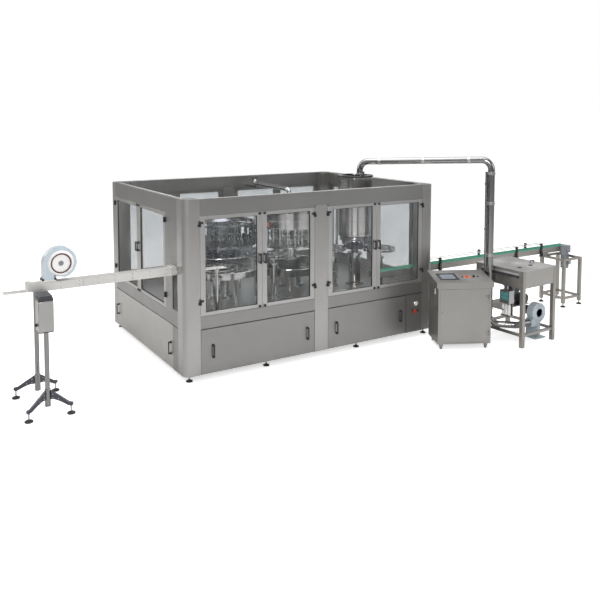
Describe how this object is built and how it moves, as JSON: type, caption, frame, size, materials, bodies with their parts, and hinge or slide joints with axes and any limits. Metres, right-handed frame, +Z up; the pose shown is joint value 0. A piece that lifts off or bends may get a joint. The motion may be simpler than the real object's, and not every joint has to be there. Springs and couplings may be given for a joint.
{
  "type": "bottle capping machine line",
  "caption": "Glazed rinsing, filling and capping machine with infeed air conveyor, operator console, cap hopper and pipe, and outfeed conveyor.",
  "frame": {"origin": "middle of the whole line's footprint, on the floor", "axes": "+Z up, +X along the bottle flow from infeed to outfeed, +Y from the operator side to the back"},
  "size_m": [9.9, 4.336, 2.8354],
  "materials": {
    "post_steel": "satin brushed stainless posts",
    "panel_steel": "brushed stainless sheet",
    "frame_steel": "brushed square tube",
    "polished_steel": "polished stainless",
    "head_steel": "dark machined carrier ring and heads",
    "beam_steel": "light matt stainless sheet",
    "clear_pane": "clear safety pane",
    "black_plastic": "moulded black plastic",
    "feet_metal": "rubber pads on threaded rods",
    "gauge_face": "white dial",
    "red_plastic": "red push buttons",
    "blower_paint": "pale blue-grey painted scroll",
    "wheel_cream": "cream moulded fan disc",
    "cabinet_steel": "brushed cabinet sheet",
    "conveyor_steel": "brushed side plates",
    "slat_green": "green flat-top slats",
    "motor_paint": "grey painted gear motor"
  },
  "bodies": {
    "frame": {"base_frame": "frame_steel", "bed_plate": "frame_steel", "corner_posts": "post_steel", "cross_rails": "panel_steel", "fixed_lower_panels": "panel_steel", "fixed_guard_frames": "panel_steel", "fixed_guard_panes": "clear_pane", "hinge_pins": "black_plastic", "levelling_feet": "feet_metal", "pressure_gauge": "gauge_face", "star_pedestals": "polished_steel", "rinser_base": "polished_steel", "filler_base": "polished_steel", "capper_column": "polished_steel", "cap_sorter": "polished_steel", "product_piping": "polished_steel", "cap_pipe": "polished_steel", "infeed_beam": "beam_steel", "blower_housing": "blower_paint", "infeed_stand": "polished_steel", "cabinet_body": "cabinet_steel", "cabinet_console": "cabinet_steel", "hopper_table": "frame_steel", "lift_blower": "blower_paint", "conveyor_bed": "conveyor_steel", "conveyor_chain": "slat_green", "conveyor_rails": "black_plastic", "conveyor_stand": "frame_steel", "conveyor_drive": "motor_paint"},
    "guard_door_1": {"guard_door_1": "panel_steel", "guard_door_1_pane": "clear_pane"},
    "guard_door_2": {"guard_door_2": "panel_steel", "guard_door_2_pane": "clear_pane"},
    "guard_door_3": {"guard_door_3": "panel_steel", "guard_door_3_pane": "clear_pane"},
    "guard_door_4": {"guard_door_4": "panel_steel", "guard_door_4_pane": "clear_pane"},
    "side_door_1": {"side_door_1": "panel_steel", "side_door_1_pane": "clear_pane"},
    "side_door_2": {"side_door_2": "panel_steel", "side_door_2_pane": "clear_pane"},
    "front_panel_left": {"front_panel_left": "panel_steel"},
    "front_panel_right": {"front_panel_right": "panel_steel"},
    "side_panel": {"side_panel": "panel_steel"},
    "stop_button": {"stop_button": "red_plastic"},
    "filler": {"filler_bowl": "polished_steel", "filler_valves": "polished_steel"},
    "rinser": {"rinser_carousel": "polished_steel", "rinser_grippers": "black_plastic"},
    "capper": {"capper_heads": "head_steel"},
    "infeed_star": {"infeed_star": "polished_steel"},
    "transfer_star": {"transfer_star": "polished_steel"},
    "capper_star": {"capper_star": "polished_steel"},
    "discharge_star": {"discharge_star": "polished_steel"},
    "blower_impeller": {"blower_impeller": "wheel_cream"},
    "drive_shaft": {"drive_shaft": "polished_steel"},
    "cabinet_door": {"cabinet_door": "cabinet_steel"},
    "console_button": {"console_button": "red_plastic"},
    "console_selector": {"console_selector": "black_plastic"},
    "hopper_lid": {"hopper_lid": "frame_steel"}
  },
  "joints": [
    {"name": "guard_door_1_swing", "type": "hinge", "parent": "frame", "child": "guard_door_1", "pos_m": [-2.625, -0.906, 1.5], "axis": [0, 0, 1], "range_deg": [-110, 0]},
    {"name": "guard_door_2_swing", "type": "hinge", "parent": "frame", "child": "guard_door_2", "pos_m": [-0.871, -0.906, 1.5], "axis": [0, 0, 1], "range_deg": [0, 110]},
    {"name": "guard_door_3_swing", "type": "hinge", "parent": "frame", "child": "guard_door_3", "pos_m": [-0.644, -0.906, 1.5], "axis": [0, 0, 1], "range_deg": [-110, 0]},
    {"name": "guard_door_4_swing", "type": "hinge", "parent": "frame", "child": "guard_door_4", "pos_m": [1.125, -0.906, 1.5], "axis": [0, 0, 1], "range_deg": [0, 60]},
    {"name": "side_door_1_swing", "type": "hinge", "parent": "frame", "child": "side_door_1", "pos_m": [-2.864, 1.943, 1.5], "axis": [0, 0, 1], "range_deg": [-110, 0]},
    {"name": "side_door_2_swing", "type": "hinge", "parent": "frame", "child": "side_door_2", "pos_m": [-2.864, -0.251, 1.5], "axis": [0, 0, 1], "range_deg": [0, 95]},
    {"name": "front_panel_left_lift_off", "type": "slide", "parent": "frame", "child": "front_panel_left", "axis": [0, -1, 0], "range_m": [0, 0.3]},
    {"name": "front_panel_right_lift_off", "type": "slide", "parent": "frame", "child": "front_panel_right", "axis": [0, -1, 0], "range_m": [0, 0.3]},
    {"name": "side_panel_lift_off", "type": "slide", "parent": "frame", "child": "side_panel", "axis": [-1, 0, 0], "range_m": [0, 0.3]},
    {"name": "stop_button_press", "type": "slide", "parent": "frame", "child": "stop_button", "axis": [0, 1, 0], "range_m": [0, 0.005], "stiffness_N_per_m": 400},
    {"name": "filler_spin", "type": "hinge", "parent": "frame", "child": "filler", "pos_m": [-0.4, 0.608, 1.5], "axis": [0, 0, 1], "continuous": true},
    {"name": "rinser_spin", "type": "hinge", "parent": "frame", "child": "rinser", "pos_m": [-1.7, 0.508, 1.5], "axis": [0, 0, 1], "continuous": true},
    {"name": "capper_spin", "type": "hinge", "parent": "frame", "child": "capper", "pos_m": [0.55, 0.108, 1.4], "axis": [0, 0, 1], "continuous": true},
    {"name": "infeed_star_spin", "type": "hinge", "parent": "frame", "child": "infeed_star", "pos_m": [-2.11231, -0.292, 1.326], "axis": [0, 0, 1], "continuous": true},
    {"name": "transfer_star_spin", "type": "hinge", "parent": "frame", "child": "transfer_star", "pos_m": [-0.95273, 0.1584, 1.326], "axis": [0, 0, 1], "continuous": true},
    {"name": "capper_star_spin", "type": "hinge", "parent": "frame", "child": "capper_star", "pos_m": [0.13889, 0.1419, 1.326], "axis": [0, 0, 1], "continuous": true},
    {"name": "discharge_star_spin", "type": "hinge", "parent": "frame", "child": "discharge_star", "pos_m": [0.7409, -0.2995, 1.326], "axis": [0, 0, 1], "continuous": true},
    {"name": "blower_spin", "type": "hinge", "parent": "frame", "child": "blower_impeller", "pos_m": [-4.305, -0.592, 1.706], "axis": [0, 1, 0], "continuous": true},
    {"name": "drive_shaft_spin", "type": "hinge", "parent": "frame", "child": "drive_shaft", "pos_m": [4.8, -0.562, 0.995], "axis": [0, 1, 0], "continuous": true},
    {"name": "cabinet_door_swing", "type": "hinge", "parent": "frame", "child": "cabinet_door", "pos_m": [1.55464, -1.90899, 0.5], "axis": [0, 0, 1], "range_deg": [0, 110]},
    {"name": "console_button_press", "type": "slide", "parent": "frame", "child": "console_button", "axis": [0.0474, 0.0951, -0.9943], "range_m": [0, 0.004], "stiffness_N_per_m": 300},
    {"name": "console_selector_turn", "type": "hinge", "parent": "frame", "child": "console_selector", "pos_m": [1.50449, -1.6241, 1.03657], "axis": [-0.0474, -0.0951, 0.9943], "range_deg": [-45, 45]},
    {"name": "hopper_lid_swing", "type": "hinge", "parent": "frame", "child": "hopper_lid", "pos_m": [2.31782, -1.27742, 1.169], "axis": [0.9984, 0.0558, 0], "range_deg": [-80, 0]}
  ],
  "couplings": [
    {"joint": "rinser_spin", "follows": "filler_spin", "ratio": 0.8125},
    {"joint": "capper_spin", "follows": "filler_spin", "ratio": 2.6},
    {"joint": "infeed_star_spin", "follows": "filler_spin", "ratio": -1.625},
    {"joint": "transfer_star_spin", "follows": "filler_spin", "ratio": -2.1667},
    {"joint": "capper_star_spin", "follows": "filler_spin", "ratio": -2.1667},
    {"joint": "discharge_star_spin", "follows": "filler_spin", "ratio": -1.8571}
  ]
}
